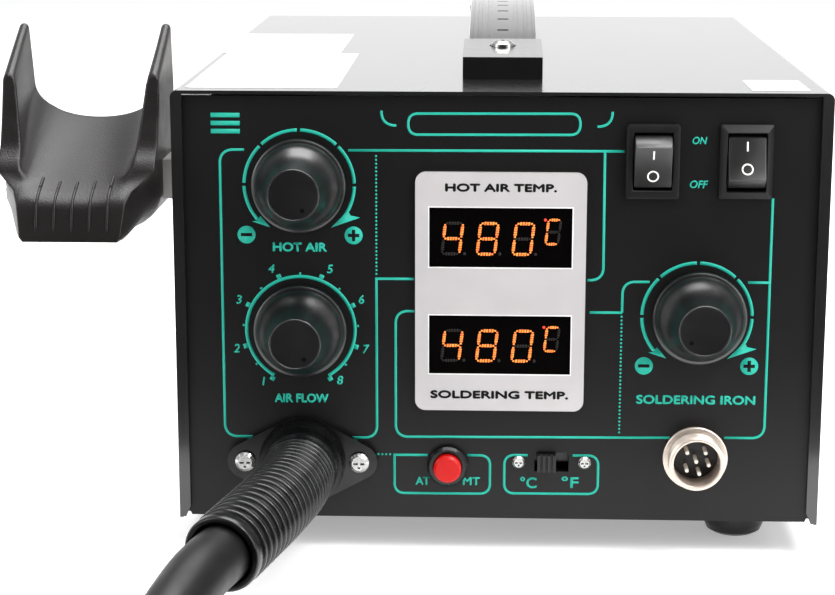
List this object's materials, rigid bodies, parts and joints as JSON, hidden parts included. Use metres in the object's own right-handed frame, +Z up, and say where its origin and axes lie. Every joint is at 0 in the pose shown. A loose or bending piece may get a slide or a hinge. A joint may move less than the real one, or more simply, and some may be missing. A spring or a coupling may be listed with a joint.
{
  "type": "hot air rework station",
  "caption": "Boxy bench station for hot air rework and soldering, with knobs, twin displays, a socket, a handpiece holder and an air hose coiled to its handpiece.",
  "frame": {"origin": "on the bench, under the middle of the box around the case, holder and handpiece, without the hose", "axes": "+X to the right as seen from the front, +Y from the front panel to the back, +Z up"},
  "size_m": [0.2404, 0.6896, 0.1525],
  "materials": {
    "case_paint": "fine textured powder coat, satin black",
    "panel_paint": "printed satin black front panel and chassis",
    "zinc": "bright zinc plated steel",
    "screw_steel": "plated screw heads",
    "nickel": "bright nickel plate",
    "steel_tube": "stainless tube and nozzle",
    "brass": "bare brass",
    "black_plastic": "moulded black plastic, satin",
    "knob_plastic": "fine grained black knob",
    "gloss_black": "glossy black plastic",
    "silver_plastic": "silver painted display frame",
    "window": "smoked display window",
    "red_plastic": "glossy red button",
    "cradle_plastic": "grainy dark grey moulding",
    "hose_rubber": "smooth dark grey silicone hose",
    "black_rubber": "black rubber",
    "board": "green circuit board",
    "components": "dark component bodies",
    "aluminium": "extruded aluminium",
    "pump_metal": "grey pump housing",
    "core_steel": "laminated transformer core",
    "coil_wire": "enamelled copper under yellow tape",
    "ceramic": "heater ceramic",
    "silicone": "translucent silicone tube"
  },
  "bodies": {
    "case": {"cover": "case_paint", "chassis": "panel_paint", "case_screws": "screw_steel", "feet": "black_rubber", "foot_screws": "screw_steel", "handle_caps": "black_plastic", "handle_strap": "black_plastic", "handle_screws": "screw_steel", "display_bezel": "silver_plastic", "display_windows": "window", "display_modules": "components", "display_board": "board", "rocker_housings": "gloss_black", "mains_terminals": "brass", "potentiometers": "zinc", "panel_nuts": "zinc", "mode_button_body": "gloss_black", "unit_switch_body": "zinc", "unit_switch_screws": "screw_steel", "iron_socket_shell": "nickel", "iron_socket_insert": "black_plastic", "iron_socket_pins": "nickel", "iron_socket_nut": "nickel", "hose_flange": "gloss_black", "flange_screws": "screw_steel", "hose_sleeve": "gloss_black", "hose_lead": "hose_rubber", "hose_coil": "hose_rubber", "hose_tail": "hose_rubber", "grip_gland": "black_rubber", "grip_shell_left": "black_plastic", "grip_shell_right": "black_plastic", "grip_screws": "screw_steel", "heater_tube": "steel_tube", "heater_core": "ceramic", "nozzle": "steel_tube", "cradle": "cradle_plastic", "cradle_bracket": "zinc", "cradle_magnet": "zinc", "air_pump": "pump_metal", "pump_feet": "black_rubber", "air_tube": "silicone", "transformer_core": "core_steel", "transformer_coil": "coil_wire", "main_board": "board", "board_components": "components", "board_standoffs": "brass", "heatsink": "aluminium", "mains_inlet": "black_plastic", "fuse_holder": "black_plastic"},
    "hot_air_temp_knob": {"knob_hot_air_temp": "knob_plastic", "shaft_hot_air_temp": "aluminium"},
    "air_volume_knob": {"knob_air_volume": "knob_plastic", "shaft_air_volume": "aluminium"},
    "iron_temp_knob": {"knob_iron_temp": "knob_plastic", "shaft_iron_temp": "aluminium"},
    "left_rocker": {"rocker_left": "gloss_black"},
    "right_rocker": {"rocker_right": "gloss_black"},
    "mode_button": {"mode_button_cap": "red_plastic"},
    "unit_selector": {"unit_switch_slider": "black_plastic"}
  },
  "joints": [
    {"name": "hot_air_temp_turn", "type": "hinge", "parent": "case", "child": "hot_air_temp_knob", "pos_m": [-0.0324, 0.0806, 0.109], "axis": [0, 1, 0], "range_deg": [-300, 0]},
    {"name": "air_volume_turn", "type": "hinge", "parent": "case", "child": "air_volume_knob", "pos_m": [-0.0324, 0.0806, 0.0665], "axis": [0, 1, 0], "range_deg": [-300, 0]},
    {"name": "iron_temp_turn", "type": "hinge", "parent": "case", "child": "iron_temp_knob", "pos_m": [0.0824, 0.0806, 0.0714], "axis": [0, 1, 0], "range_deg": [-16.6, 283.4]},
    {"name": "left_rocker_tilt", "type": "hinge", "parent": "case", "child": "left_rocker", "pos_m": [0.068, 0.0896, 0.1165], "axis": [1, 0, 0], "range_deg": [-30, 0]},
    {"name": "right_rocker_tilt", "type": "hinge", "parent": "case", "child": "right_rocker", "pos_m": [0.0943, 0.0896, 0.1165], "axis": [1, 0, 0], "range_deg": [0, 30]},
    {"name": "mode_button_press", "type": "slide", "parent": "case", "child": "mode_button", "axis": [0, 1, 0], "range_m": [0, 0.003], "stiffness_N_per_m": 400, "springref_m": -0.001},
    {"name": "unit_selector_slide", "type": "slide", "parent": "case", "child": "unit_selector", "axis": [1, 0, 0], "range_m": [0, 0.003]}
  ]
}
